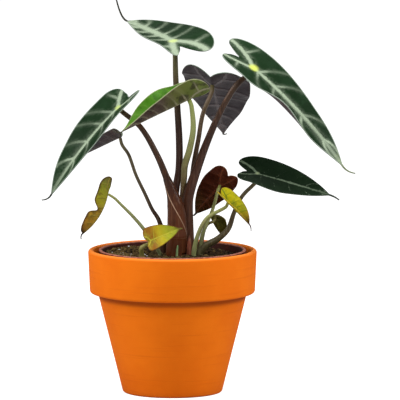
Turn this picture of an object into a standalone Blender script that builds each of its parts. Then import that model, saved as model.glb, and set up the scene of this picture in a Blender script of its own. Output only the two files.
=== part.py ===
"""A potted alocasia: a young plant with long-stalked arrow-shaped leaves, in the thin plastic
pot it was raised in, which stands inside a clay pot with a deep rim band.

Heights are above the surface that the clay pot stands on. Sizes and places are in millimetres
about the pots' own axis, and MM turns them into metres. An empty carries that axis.
"""

import math

import bmesh
import bpy
from mathutils import Matrix, Vector

MM = 0.001
GAP = 0.3  # left between pieces that touch
POT_AXIS = (-22.9, -18.2, 0.0)  # the pots' axis, from the middle of the whole plant's box
TURN_STEPS = 48  # facets round a turned piece

# Clay pot
CLAY_HEIGHT = 127.4
CLAY_RIM_RADIUS = 75.0
CLAY_BAND_FOOT_RADIUS = 73.3
CLAY_BAND_HEIGHT = 38.1
CLAY_SHOULDER_RADIUS = 66.0
CLAY_FOOT_RADIUS = 44.0
CLAY_WALL = 6.5
CLAY_RIM_WALL = 5.0
CLAY_FLOOR = 9.0
CLAY_DRAIN_RADIUS = 7.0

# Plastic growing pot
LINER_HEIGHT = 118.1
LINER_LIP_RADIUS = 65.4
LINER_LIP_HEIGHT = 6.0
LINER_TOP_RADIUS = 62.6
LINER_FOOT_RADIUS = 37.2
LINER_WALL = 1.5
LINER_DRAIN_RADIUS = 7.0
LINER_FOOT_HEIGHT = CLAY_FLOOR + GAP

# Growing mix
MIX_LEVEL = 123.2
MIX_FLAT_RADIUS = 36.0
MIX_LEAN = 2.0  # how far the mix is heaped up at the left wall and sunk at the right one

# Leaves
BLADE_THICKNESS = 0.8
PARTED_ROWS = (0.97, 0.76, 0.4)  # shares of a lobe's free length, from its end inwards
UNITED_ROWS = (1.0, 0.5)  # shares of the length over which the two lobes are grown together
BLADE_ROWS = (0.0, 0.1, 0.24, 0.4, 0.54, 0.7, 0.83, 0.93, 1.0)  # shares of the midrib
TAIL_ROWS = (0.35, 0.7, 1.0)  # shares of the drip tail
LOBE_CENTRE = 0.46  # a lobe's end lies this share of the half width from the midrib
TIP_HALF_WIDTH = 0.9
TAIL_HALF_WIDTH = 0.5
STALK_STEPS = 2  # rings between two points of a stalk
STALK_STUB = 1.5  # a stalk's straight end, at the mix and under the blade
STALK_BEND = 7.0  # how far under the blade a stalk begins to turn square to it


def new_material(name, colour, roughness, metallic=0.0):
    material = bpy.data.materials.new(name)
    material.use_nodes = True
    shader = material.node_tree.nodes["Principled BSDF"]
    shader.inputs["Base Color"].default_value = (*colour, 1.0)
    shader.inputs["Roughness"].default_value = roughness
    shader.inputs["Metallic"].default_value = metallic
    return material


def add_piece(name, data, colour, roughness):
    """Links an object for the mesh or curve, gives it a material and stands it on the pots' axis."""
    piece = bpy.data.objects.new(name, data)
    data.materials.append(new_material(name, colour, roughness))
    plant.objects.link(piece)
    piece.parent = pot_axis
    return piece


def rounded(corners, steps=3):
    """Turns (radius, height, rounding) corners into an outline with an arc at each rounded one."""
    outline = []
    count = len(corners)
    for i, (radius, height, rounding) in enumerate(corners):
        corner = Vector((radius, height))
        if rounding == 0:
            outline.append(corner)
            continue
        before = (Vector(corners[i - 1][:2]) - corner).normalized()
        after = (Vector(corners[(i + 1) % count][:2]) - corner).normalized()
        half = before.angle(after) / 2
        centre = corner + (before + after).normalized() * (rounding / math.sin(half))
        start = (corner + before * (rounding / math.tan(half)) - centre).normalized()
        end = (corner + after * (rounding / math.tan(half)) - centre).normalized()
        arc = [start.slerp(end, k / steps) for k in range(steps + 1)]
        outline += [centre + ray * rounding for ray in arc]
    return outline


def turned(name, corners, colour, roughness):
    """A ring-shaped solid: a closed outline, from the top down its outer side, turned about +Z."""
    outline = rounded(corners)
    mesh = bpy.data.meshes.new(name)
    shape = bmesh.new()
    points = [shape.verts.new((p.x * MM, 0.0, p.y * MM)) for p in outline]
    for i, point in enumerate(points):
        shape.edges.new((points[i - 1], point))
    shape.to_mesh(mesh)
    shape.free()
    piece = add_piece(name, mesh, colour, roughness)
    turn = piece.modifiers.new("turn", "SCREW")
    turn.steps = TURN_STEPS
    turn.render_steps = TURN_STEPS
    turn.use_merge_vertices = True
    turn.merge_threshold = 0.00001
    turn.use_smooth_shade = True
    return piece


def make_clay_pot():
    band_foot = CLAY_HEIGHT - CLAY_BAND_HEIGHT
    rim_inner = CLAY_RIM_RADIUS - CLAY_RIM_WALL
    shoulder_inner = CLAY_SHOULDER_RADIUS - CLAY_WALL
    step_top = band_foot + 6.0
    return turned(
        "clay_pot",
        [
            (CLAY_RIM_RADIUS, CLAY_HEIGHT, 2.4),
            (CLAY_BAND_FOOT_RADIUS, band_foot, 2.6),
            (CLAY_SHOULDER_RADIUS, band_foot - 1.5, 0),
            (CLAY_FOOT_RADIUS, 0.0, 2.5),
            (CLAY_DRAIN_RADIUS, 0.0, 0),
            (CLAY_DRAIN_RADIUS, CLAY_FLOOR, 0),
            (CLAY_FOOT_RADIUS - CLAY_WALL + 2.0, CLAY_FLOOR, 4.0),
            (shoulder_inner, band_foot - 4.0, 0),
            (rim_inner - 3.0, step_top, 0),
            (rim_inner, CLAY_HEIGHT, 2.2),
        ],
        (0.80, 0.27, 0.05),
        0.8,
    )


def make_growing_pot():
    foot = LINER_FOOT_HEIGHT
    top = foot + LINER_HEIGHT
    lip_foot = top - LINER_LIP_HEIGHT
    return turned(
        "growing_pot",
        [
            (LINER_LIP_RADIUS, top, 0.7),
            (LINER_LIP_RADIUS - 0.4, lip_foot, 0),
            (LINER_TOP_RADIUS, lip_foot, 0),
            (LINER_FOOT_RADIUS, foot, 1.2),
            (LINER_DRAIN_RADIUS, foot, 0),
            (LINER_DRAIN_RADIUS, foot + LINER_WALL, 0),
            (LINER_FOOT_RADIUS - LINER_WALL, foot + LINER_WALL, 0),
            (LINER_TOP_RADIUS - LINER_WALL, lip_foot + 1.0, 0),
            (LINER_LIP_RADIUS - 2.6, top, 0.7),
        ],
        (0.16, 0.05, 0.03),
        0.5,
    )


def liner_inner_radius(height):
    """The inner radius of the growing pot's wall, below its lip, at a height."""
    low = LINER_FOOT_HEIGHT + LINER_WALL
    high = LINER_FOOT_HEIGHT + LINER_HEIGHT - LINER_LIP_HEIGHT + 1.0
    share = (height - low) / (high - low)
    foot_radius = LINER_FOOT_RADIUS - LINER_WALL
    return foot_radius + share * (LINER_TOP_RADIUS - LINER_WALL - foot_radius)


def make_growing_mix():
    """The plug of growing mix: flat round the plant, heaped towards one wall and low at the other."""
    foot = LINER_FOOT_HEIGHT + LINER_WALL + GAP
    brim = LINER_FOOT_HEIGHT + LINER_HEIGHT - LINER_LIP_HEIGHT
    outline = [
        (0.0, MIX_LEVEL),
        (MIX_FLAT_RADIUS, MIX_LEVEL),
        (0.5 * (MIX_FLAT_RADIUS + LINER_TOP_RADIUS), MIX_LEVEL),
        (liner_inner_radius(brim) - 2 * GAP, MIX_LEVEL - 1.0),
        (liner_inner_radius(brim) - 2 * GAP, brim),
        (liner_inner_radius(foot) - 2 * GAP, foot),
        (0.0, foot),
    ]
    shape = bmesh.new()
    points = [shape.verts.new((radius, 0.0, height)) for radius, height in outline]
    edges = [shape.edges.new(pair) for pair in zip(points[:-1], points[1:])]
    bmesh.ops.spin(
        shape, geom=points + edges, cent=(0, 0, 0), axis=(0, 0, 1),
        angle=2 * math.pi, steps=TURN_STEPS, use_merge=True,
    )
    bmesh.ops.remove_doubles(shape, verts=shape.verts, dist=0.001)
    bmesh.ops.recalc_face_normals(shape, faces=shape.faces)
    if shape.calc_volume(signed=True) < 0:
        bmesh.ops.reverse_faces(shape, faces=shape.faces)
    for point in shape.verts:
        reach = point.co.xy.length - MIX_FLAT_RADIUS
        if reach > 0 and point.co.z > brim + 0.5:
            share = reach / (LINER_TOP_RADIUS - MIX_FLAT_RADIUS)
            point.co.z -= MIX_LEAN * share * point.co.x / point.co.xy.length
    shape.transform(Matrix.Scale(MM, 4))
    mesh = bpy.data.meshes.new("growing_mix")
    shape.to_mesh(mesh)
    shape.free()
    return add_piece("growing_mix", mesh, (0.13, 0.09, 0.04), 0.95)


class Leaf:
    """One leaf: where its blade lies and how it is bent, and the stalk that carries it.

    The blade runs from junction to tip, and tail is the drip tail's end from the tip. roll turns
    its upper face about the midrib, to the right when positive, seen from the junction. Pairs are
    for the left and the right half. halves are the widths beside the junction, lobes the lengths
    behind it, and folds each half's rise above flat at the lobes, the middle and the tip. The lobes
    are grown together over the share sinus. bow lifts the midrib's middle, lift raises the lobes,
    splay spreads their ends, curl rolls the margins up, rolled adds to that in the middle and wave
    ruffles them. taper is low for a blunt blade, and pinch narrows a shrivelled one.
    """

    def __init__(self, name, colour, junction, tip, tail, halves, lobes, folds, stalk, radii,
                 roll=0.0, sinus=0.5, bow=0.0, lift=0.0, splay=0.0, curl=0.0, rolled=(0.0, 0.0),
                 wave=0.0, taper=0.95, pinch=0.0, stalk_colour=(0.10, 0.035, 0.02)):
        self.name = name
        self.colour = colour
        self.stalk_colour = stalk_colour
        self.junction = Vector(junction)
        self.tip = Vector(tip)
        self.tail = Vector(tail)
        self.halves = halves
        self.lobes = lobes
        self.folds = folds
        self.sinus = sinus
        self.bow = bow
        self.lift = lift
        self.splay = splay
        self.curl = curl
        self.rolled = rolled
        self.wave = wave
        self.taper = taper
        self.pinch = pinch
        self.stalk = stalk
        self.radii = radii
        self.length = (self.tip - self.junction).length
        self.along = (self.tip - self.junction).normalized()
        level = Vector((0, 0, 1)) - self.along * self.along.z
        self.normal = Matrix.Rotation(math.radians(roll), 3, self.along) @ level.normalized()
        self.side = self.along.cross(self.normal)

    def spine(self, station, back=0.0):
        """The midrib's point at a station, 0 at the junction and 1 at the tip, or back in a lobe."""
        rise = self.bow * 4 * station * (1 - station) + self.lift * back * back
        return self.junction + self.along * (station * self.length) + self.normal * rise

    def tail_point(self, share):
        """A point of the drip tail, which leaves the tip along the midrib and bends to its end."""
        heading = (self.spine(1.0) - self.spine(0.97)).normalized()
        return self.tip + heading * (self.tail.length * share * (1 - share)) + self.tail * share**2

    def fold(self, station, half):
        """The rise of one half above flat, in degrees, eased between the three stated folds."""
        base, middle, end = self.folds[half]
        place = min(max(station, 0.0), 1.0) * 2
        low, high = (base, middle) if place < 1 else (middle, end)
        share = place % 1 if place < 2 else 1.0
        return low + (high - low) * share * share * (3 - 2 * share)

    def point(self, station, across, back=0.0):
        """The blade's point at a station and a distance from the midrib, negative on the left."""
        half = 1 if across > 0 else 0
        share = abs(across) / self.halves[half]
        middle = max(0.0, 4 * station * (1 - station)) ** 3
        curl = self.curl + self.rolled[half] * middle
        angle = math.radians(self.fold(station, half) + curl * share / 2)
        ruffle = self.wave * share**2 * math.sin(math.tau * 2.2 * station + (0.4, 2.0)[half])
        flat = across * math.cos(angle)
        rise = abs(across) * math.sin(angle) + ruffle
        return self.spine(station, back) + self.side * flat + self.normal * rise

    def half_width(self, station, half):
        """The margin's distance from the midrib, from the junction to the tip."""
        full = (1 - station) ** self.taper * (1 + 0.95 * station)
        waist = 1 - self.pinch * math.exp(-(((station - 0.4) / 0.09) ** 2))
        return max(self.halves[half] * full * waist, TIP_HALF_WIDTH)

    def lobe_edges(self, share, half):
        """The inner and outer margin's distance from the midrib, at a share of a lobe's length."""
        centre = LOBE_CENTRE * self.halves[half]
        outer = centre + (self.halves[half] - centre) * math.sqrt(1 - share**2.4)
        if share <= self.sinus:
            return 0.0, outer
        q = (share - self.sinus) / (1 - self.sinus)
        return centre * (0.35 * q + 0.65 * (1 - math.sqrt(1 - q * q))), outer

    def stalk_end(self, depth):
        """A point straight below the junction, under the blade's lower face."""
        return self.junction - self.normal * depth


def make_blade(leaf, half_columns):
    """A leaf blade: a grid of rows along the midrib, parted at the sinus, bent and thickened."""
    lobe_rows = [leaf.sinus + (1 - leaf.sinus) * share for share in PARTED_ROWS]
    lobe_rows += [leaf.sinus * share for share in UNITED_ROWS]
    row_count = len(lobe_rows) + len(BLADE_ROWS) + len(TAIL_ROWS)
    shape = bmesh.new()
    bmesh.ops.create_grid(
        shape, x_segments=2 * half_columns, y_segments=row_count - 1, size=1.0
    )
    rows = {p: round((p.co.y + 1) / 2 * (row_count - 1)) for p in shape.verts}
    seam = [
        edge for edge in shape.edges
        if all(abs(p.co.x) < 0.01 and rows[p] <= len(PARTED_ROWS) for p in edge.verts)
    ]
    bmesh.ops.split_edges(shape, edges=seam)
    rows = {p: round((p.co.y + 1) / 2 * (row_count - 1)) for p in shape.verts}
    places = {}
    for point, row in rows.items():
        share = abs(point.co.x)
        lean = sum(face.calc_center_median().x for face in point.link_faces)
        half = 1 if lean > 0 else 0
        side = math.copysign(1.0, lean)
        if row < len(lobe_rows):
            back = lobe_rows[row]
            inner, outer = leaf.lobe_edges(back, half)
            across = side * (inner + (outer - inner) * share + leaf.splay * back * back)
            places[point] = leaf.point(-back * leaf.lobes[half] / leaf.length, across, back)
        elif row < len(lobe_rows) + len(BLADE_ROWS):
            station = BLADE_ROWS[row - len(lobe_rows)]
            places[point] = leaf.point(station, side * share * leaf.half_width(station, half))
        else:
            reach = TAIL_ROWS[row - len(lobe_rows) - len(BLADE_ROWS)]
            width = TIP_HALF_WIDTH + (TAIL_HALF_WIDTH - TIP_HALF_WIDTH) * reach
            offset = leaf.point(1.0, side * share * width) - leaf.spine(1.0)
            places[point] = leaf.tail_point(reach) + offset
    for point, place in places.items():
        point.co = place * MM
    mesh = bpy.data.meshes.new(leaf.name + "_blade")
    shape.to_mesh(mesh)
    shape.free()
    mesh.shade_smooth()
    piece = add_piece(leaf.name + "_blade", mesh, leaf.colour, 0.35)
    body = piece.modifiers.new("thickness", "SOLIDIFY")
    body.thickness = BLADE_THICKNESS * MM
    body.offset = 0.0
    return piece


def smooth_path(points, values, steps):
    """Points on one smooth curve through the given points, with values eased between theirs."""
    ends = [points[0] * 2 - points[1], *points, points[-1] * 2 - points[-2]]
    path = []
    for i in range(len(points) - 1):
        a, b, c, d = ends[i:i + 4]
        chord = (c - b).length
        leave = (c - a) * (chord / (chord + (b - a).length))
        arrive = (d - b) * (chord / (chord + (d - c).length))
        for k in range(steps):
            t = k / steps
            turn = t * t * (3 - 2 * t)
            place = b + (c - b) * turn + leave * (t * (1 - t) ** 2) - arrive * (t * t * (1 - t))
            path.append((place, values[i] + (values[i + 1] - values[i]) * t))
    path.append((points[-1], values[-1]))
    return path


def make_rod(name, points, radii, colour, roughness=0.45):
    """A round stalk along a smooth line between two straight stubs, with a radius at each point."""
    curve = bpy.data.curves.new(name, "CURVE")
    curve.dimensions = "3D"
    curve.bevel_depth = MM
    curve.bevel_resolution = 2
    curve.use_fill_caps = True
    path = smooth_path(points[1:-1], radii[1:-1], STALK_STEPS)
    path = [(points[0], radii[0]), *path, (points[-1], radii[-1])]
    line = curve.splines.new("POLY")
    line.points.add(len(path) - 1)
    for node, (place, radius) in zip(line.points, path):
        node.co = (*(place * MM), 1.0)
        node.radius = radius
    line.use_smooth = True
    return add_piece(name, curve, colour, roughness)


def make_stalk(leaf):
    """A leaf's stalk: upright where it leaves the mix, and square to the blade where it ends."""
    first = Vector(leaf.stalk[0])
    top = BLADE_THICKNESS / 2 + 3 * GAP
    points = [
        Vector((first.x, first.y, MIX_LEVEL + GAP)),
        Vector((first.x, first.y, MIX_LEVEL + GAP + STALK_STUB)),
        *(Vector(place) for place in leaf.stalk[1:]),
        leaf.stalk_end(STALK_BEND),
        leaf.stalk_end(top + STALK_STUB),
        leaf.stalk_end(top),
    ]
    radii = (*leaf.radii, leaf.radii[-1])
    return make_rod(leaf.name + "_stalk", points, radii, leaf.stalk_colour)


DARK_GREEN = (0.012, 0.045, 0.012)
PURPLE_GREY = (0.06, 0.045, 0.06)
YELLOW = (0.45, 0.38, 0.02)
PALE_STALK = (0.25, 0.30, 0.10)

LEAVES = (
    Leaf(
        "top", DARK_GREEN, junction=(0.6, 8, 312), tip=(-41, 88, 322.5), tail=(-11, 10, 25),
        halves=(14, 33), lobes=(21, 30), roll=-18, folds=((6, -3, 8), (-6, -8, 0)), bow=1,
        lift=-6, splay=2, curl=6,
        stalk=((1, 9, 128), (1, 9, 150), (3, 9, 180), (5.8, 8.5, 198), (6.1, 6, 224),
               (4.4, 5, 254), (2.9, 6, 280)),
        radii=(3.3, 3.3, 3.3, 3.3, 3.2, 3.1, 2.8, 2.5, 2.2, 2.0),
    ),
    Leaf(
        "left", DARK_GREEN, junction=(-47.6, -8, 254.2), tip=(-107, -28, 179), tail=(-8, -3, -4),
        halves=(22, 24), lobes=(23, 16), roll=-30, folds=((34, 24, 21), (-4, 4, 34)),
        sinus=0.65, bow=5, lift=2, curl=8,
        stalk=((2.6, -8, 128), (4.2, -8, 140), (4.0, -8, 156), (2.6, -8.4, 168), (0, -8.8, 178),
               (-4.2, -9, 190), (-13.6, -10, 212.7), (-28, -8, 237)),
        radii=(8.8, 8.8, 8.8, 8.0, 6.7, 4.6, 3.2, 2.7, 2.4, 2.2, 2.0),
    ),
    Leaf(
        "young", (0.05, 0.16, 0.01), junction=(14.8, -20, 263), tip=(-45, -43, 236.5),
        tail=(-7, -2, 2), halves=(22, 22), lobes=(20, 20), roll=-8,
        folds=((53, 43, 36), (13, 48, -10)), lift=-6, curl=30, taper=0.85,
        stalk=((8.5, 13, 128), (8.5, 12.4, 150), (8.8, 9.8, 170), (9.4, 7.3, 180),
               (10.3, 4.2, 190), (11, 2, 201.7), (15, -4, 216), (18.4, -12, 236)),
        radii=(2.5, 2.5, 2.5, 2.5, 2.5, 2.8, 3.0, 2.9, 2.5, 2.0, 1.9),
        stalk_colour=(0.18, 0.22, 0.03),
    ),
    Leaf(
        "left_rear", PURPLE_GREY, junction=(-46.5, 10, 226.1), tip=(-86, 50, 203),
        tail=(-5, 5, -3), halves=(11, 5), lobes=(5, 4), folds=((50, 50, 45), (80, 75, 60)),
        stalk=((-8, 2, 128), (-9, 2, 142), (-12.3, 2, 153.8), (-18.1, 2, 163.1),
               (-24.3, 3, 176.4), (-32.3, 5, 193), (-38.9, 8, 211)),
        radii=(2.6, 2.6, 2.4, 2.0, 1.7, 1.6, 1.5, 1.5, 1.5, 1.4),
    ),
    Leaf(
        "rear", PURPLE_GREY, junction=(35.4, 28, 270.9), tip=(45.6, 108, 218.4),
        tail=(3, 3, 0), halves=(29, 34), lobes=(28, 26), folds=((20, 12, 14), (-2, 2, 10)),
        sinus=0.6, bow=2, lift=3, wave=2, taper=1.1,
        stalk=((16.5, 14, 128), (15.6, 14, 150), (15.6, 12.5, 170), (18.7, 10, 200.6),
               (23, 12, 223.8), (27.1, 18, 246.3)),
        radii=(2.3, 2.3, 2.3, 2.3, 2.2, 2.1, 2.0, 1.9, 1.8),
    ),
    Leaf(
        "right", DARK_GREEN, junction=(71.6, -5, 289.2), tip=(150, -38, 206), tail=(11, -4, -6),
        halves=(25, 24), lobes=(37, 27), roll=33, folds=((-8, -14, 0), (22, -22, 14)), bow=6.5,
        lift=-1, splay=1, curl=6, rolled=(0, 150),
        stalk=((14.7, 4, 128), (13.7, 3.6, 150), (13.5, 3, 170), (15.6, 2.2, 180),
               (22.7, 1, 201.6), (32.1, -1, 226.8), (42.9, -2, 251), (56, -3, 273)),
        radii=(5.0, 5.0, 5.0, 5.0, 4.7, 3.9, 3.2, 2.8, 2.6, 2.3, 2.2),
    ),
    Leaf(
        "lower_right", DARK_GREEN, junction=(75.2, -10, 195.8), tip=(139, -40, 180.5),
        tail=(8, -3, -4), halves=(20.5, 20.5), lobes=(23, 14), roll=36,
        folds=((0, 0, 0), (23, 9, 4)), bow=0.5, curl=2,
        stalk=((24, -5.5, 127), (30, -5, 131.5), (40, -4, 137), (49.5, -2.5, 146),
               (54.5, -3, 160), (61.5, -6, 175)),
        radii=(3.3, 3.3, 3.2, 2.9, 2.4, 2.0, 1.8, 1.7, 1.6),
        stalk_colour=(0.12, 0.10, 0.04),
    ),
    Leaf(
        "red", (0.10, 0.025, 0.01), junction=(42.2, 16, 182.5), tip=(20.5, 42, 154),
        tail=(-2, 3, -2), halves=(16, 13), lobes=(20, 18), roll=45,
        folds=((8, 8, 8), (10, 10, 10)), sinus=0.75, wave=1,
        stalk=((24.2, 4, 128), (26.2, 6, 138.5), (30.7, 9, 149.7), (35.7, 12, 161.3)),
        radii=(1.7, 1.7, 1.6, 1.5, 1.5, 1.4, 1.3), stalk_colour=PALE_STALK,
    ),
    Leaf(
        "yellow", YELLOW, junction=(49.2, -18, 170.9), tip=(67.5, -26, 153), tail=(2, 0, -6.5),
        halves=(11, 11), lobes=(13, 13), roll=30, folds=((50, 55, 60), (50, 55, 60)), curl=10,
        taper=0.7,
        stalk=((18.9, -14, 126), (20.7, -14, 135.3), (25.3, -15, 148.6), (31.9, -16, 158.2)),
        radii=(2.2, 2.2, 2.0, 1.8, 1.7, 1.5, 1.4), stalk_colour=PALE_STALK,
    ),
    Leaf(
        "small_rear", (0.12, 0.13, 0.015), junction=(38.7, 20, 154.5), tip=(43.1, 31, 137),
        tail=(0, 1, -2), halves=(6, 12), lobes=(3, 3), folds=((10, 10, 10), (-25, -20, -10)),
        stalk=((25.4, 9, 128), (28, 12, 141), (31.5, 15, 148)),
        radii=(1.4, 1.4, 1.3, 1.3, 1.2, 1.2), stalk_colour=(0.10, 0.10, 0.03),
    ),
    Leaf(
        "withered", (0.30, 0.25, 0.02), junction=(-57, -14, 178.4), tip=(-79, -22, 144),
        tail=(-1.5, -1, -5), halves=(11, 8.5), lobes=(14, 14), roll=15,
        folds=((68, 75, 70), (92, 90, 80)), bow=-4, lift=-6,
        taper=0.5, pinch=0.6,
        stalk=((-11, -10, 128), (-23.2, -11, 144), (-34.4, -12, 157.7), (-45.5, -13, 169)),
        radii=(1.8, 1.8, 1.7, 1.5, 1.3, 1.2, 1.1), stalk_colour=PALE_STALK,
    ),
    Leaf(
        "front", (0.30, 0.22, 0.02), junction=(-19, -30, 138.8), tip=(7, -34, 150),
        tail=(2, 0, 0), halves=(12.5, 10), lobes=(5, 4), roll=70,
        folds=((6, 8, 10), (10, 14, 10)),
        stalk=((-27, -23.5, 126), (-27, -26.5, 132)),
        radii=(2.2, 2.2, 2.0, 1.6, 1.4), stalk_colour=(0.14, 0.13, 0.04),
    ),
)
SMALL_LEAVES = {"left_rear", "red", "yellow", "small_rear", "withered", "front"}


def make_bud_sheath():
    """The pointed reddish scale at the foot of the stalks, over the next bud."""
    points = [Vector(p) for p in (
        (14.6, -7.6, MIX_LEVEL + GAP), (14.6, -7.6, 129), (14.8, -7.2, 135), (15.0, -6.4, 140.5)
    )]
    return make_rod("bud_sheath", points, (2.3, 2.4, 1.8, 0.5), (0.20, 0.05, 0.03))


def make_sprout():
    """A thin green shoot in front of the stalks."""
    points = [Vector(p) for p in (
        (4.0, -21, MIX_LEVEL + GAP), (4.0, -21, 125), (4.2, -21, 129), (4.8, -21, 133.5)
    )]
    return make_rod("sprout", points, (1.1, 1.1, 1.0, 0.5), (0.10, 0.20, 0.10))


for old in list(bpy.data.objects):
    bpy.data.objects.remove(old)
plant = bpy.data.collections.new("potted_alocasia")
bpy.context.scene.collection.children.link(plant)
pot_axis = bpy.data.objects.new("pot_axis", None)
pot_axis.location = Vector(POT_AXIS) * MM
plant.objects.link(pot_axis)

make_clay_pot()
make_growing_pot()
make_growing_mix()
make_bud_sheath()
make_sprout()
for leaf in LEAVES:
    make_blade(leaf, half_columns=2 if leaf.name in SMALL_LEAVES else 3)
    make_stalk(leaf)
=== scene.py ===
"""A potted alocasia as it is put together: clay pot, growing pot, mix, then leaf by leaf."""

import math
import random

import bmesh
import bpy
import numpy as np
from mathutils import Matrix, Vector


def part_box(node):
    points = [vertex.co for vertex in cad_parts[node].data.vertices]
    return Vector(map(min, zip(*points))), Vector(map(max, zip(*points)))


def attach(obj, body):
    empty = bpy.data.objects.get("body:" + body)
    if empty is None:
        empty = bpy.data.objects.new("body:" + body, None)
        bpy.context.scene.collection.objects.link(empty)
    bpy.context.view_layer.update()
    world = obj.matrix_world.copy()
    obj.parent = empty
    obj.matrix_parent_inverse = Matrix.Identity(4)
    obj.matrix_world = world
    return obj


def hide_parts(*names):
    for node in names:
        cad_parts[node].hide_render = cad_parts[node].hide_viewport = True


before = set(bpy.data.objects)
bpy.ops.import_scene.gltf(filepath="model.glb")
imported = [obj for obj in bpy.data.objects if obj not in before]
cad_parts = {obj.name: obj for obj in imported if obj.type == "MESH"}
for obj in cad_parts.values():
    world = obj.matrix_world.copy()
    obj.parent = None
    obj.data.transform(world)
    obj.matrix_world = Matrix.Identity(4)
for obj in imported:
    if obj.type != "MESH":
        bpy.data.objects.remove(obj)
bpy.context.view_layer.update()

# ---------------------------------------------------------------- Clay pot
# A pot of plain unglazed terracotta, turned on a wheel and fired: a tall rim band over a
# tapering body, with a drain hole through its floor. It carries everything else.

MM = 0.001
CLAY_HEIGHT = 127.4
CLAY_BAND_FOOT = 89.3
CLAY_TURN_STEPS = 144
clay_low, clay_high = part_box("clay_pot")
POT_AXIS = Vector(((clay_low.x + clay_high.x) / 2, (clay_low.y + clay_high.y) / 2, 0))


def add_node(tree, kind, inputs, **settings):
    """A shader node with its settings and its inputs, each a value or another node's socket."""
    node = tree.nodes.new(kind)
    for name, value in settings.items():
        setattr(node, name, value)
    for key, value in inputs.items():
        if isinstance(value, bpy.types.NodeSocket):
            tree.links.new(value, node.inputs[key])
        else:
            node.inputs[key].default_value = value
    return node


def new_skin(name, roughness):
    """A material with its node tree, its shader and the piece's own coordinates."""
    skin = bpy.data.materials.new(name)
    skin.use_nodes = True
    tree = skin.node_tree
    shader = tree.nodes["Principled BSDF"]
    shader.inputs["Roughness"].default_value = roughness
    shader.inputs["Specular IOR Level"].default_value = 0.12
    return skin, tree, shader, add_node(tree, "ShaderNodeTexCoord", {}).outputs["Object"]


def grain(tree, place, scale, detail=4.0, stretch=(1, 1, 1)):
    """Noise from 0 to 1, finer with a larger scale, drawn out along an axis of small stretch."""
    moved = add_node(tree, "ShaderNodeMapping", {"Vector": place, "Scale": stretch})
    noise = add_node(
        tree, "ShaderNodeTexNoise",
        {"Vector": moved.outputs[0], "Scale": scale, "Detail": detail, "Roughness": 0.6},
    )
    return noise.outputs[0]


def ease(tree, value, low, high, start=0.0, end=1.0):
    """start below low, end above high, and a smooth step between them."""
    node = add_node(
        tree, "ShaderNodeMapRange",
        {"Value": value, "From Min": low, "From Max": high, "To Min": start, "To Max": end},
        interpolation_type="SMOOTHSTEP",
    )
    return node.outputs[0]


def maths(tree, kind, first, second):
    """The sum, product or other arithmetic of two values, each a number or a socket."""
    return add_node(tree, "ShaderNodeMath", {0: first, 1: second}, operation=kind).outputs[0]


def paint(tree, share, under, over):
    """One colour laid over another by a share from 0 to 1."""
    colours = {}
    for key, colour in ((6, under), (7, over)):
        colours[key] = (*colour, 1.0) if isinstance(colour, tuple) else colour
    node = add_node(tree, "ShaderNodeMix", {0: share, **colours}, data_type="RGBA")
    return node.outputs[2]


def finish_skin(tree, shader, colour, roughness, height, distance):
    """Joins the colour, the roughness and the relief, in metres, to the shader."""
    bump = add_node(
        tree, "ShaderNodeBump", {"Height": height, "Distance": distance, "Strength": 0.8}
    )
    tree.links.new(colour, shader.inputs["Base Color"])
    tree.links.new(roughness, shader.inputs["Roughness"])
    tree.links.new(bump.outputs[0], shader.inputs["Normal"])


def rounded(corners, steps=6):
    """An outline through (radius, height, rounding) corners, with an arc at each rounded one."""
    outline = []
    for i, (radius, height, rounding) in enumerate(corners):
        corner = Vector((radius, height))
        if rounding == 0:
            outline.append(corner)
            continue
        before = (Vector(corners[i - 1][:2]) - corner).normalized()
        after = (Vector(corners[(i + 1) % len(corners)][:2]) - corner).normalized()
        half = before.angle(after) / 2
        centre = corner + (before + after).normalized() * (rounding / math.sin(half))
        start = (corner + before * (rounding / math.tan(half)) - centre).normalized()
        end = (corner + after * (rounding / math.tan(half)) - centre).normalized()
        outline += [centre + start.slerp(end, k / steps) * rounding for k in range(steps + 1)]
    return outline


def turn(outline, closed, steps):
    """A bmesh turned about +Z from an outline of (radius, height) points, in millimetres."""
    shape = bmesh.new()
    points = [shape.verts.new((p[0], 0.0, p[1])) for p in outline]
    edges = [shape.edges.new(pair) for pair in zip(points[:-1], points[1:])]
    if closed:
        edges.append(shape.edges.new((points[-1], points[0])))
    bmesh.ops.spin(
        shape, geom=points + edges, cent=(0, 0, 0), axis=(0, 0, 1),
        angle=2 * math.pi, steps=steps, use_merge=True,
    )
    bmesh.ops.remove_doubles(shape, verts=shape.verts, dist=0.001)
    bmesh.ops.recalc_face_normals(shape, faces=shape.faces)
    if shape.calc_volume(signed=True) < 0:
        bmesh.ops.reverse_faces(shape, faces=shape.faces)
    return shape


def put(name, shape, skins, node):
    """Makes a piece from a bmesh in mm about the pots' axis and gives it to the frame."""
    shape.transform(Matrix.Translation(POT_AXIS) @ Matrix.Scale(MM, 4))
    mesh = bpy.data.meshes.new(name)
    shape.to_mesh(mesh)
    shape.free()
    mesh.shade_smooth()
    for skin in skins:
        mesh.materials.append(skin)
    piece = bpy.data.objects.new(name, mesh)
    bpy.context.scene.collection.objects.link(piece)
    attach(piece, "root")
    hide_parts(node)
    return piece


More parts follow.
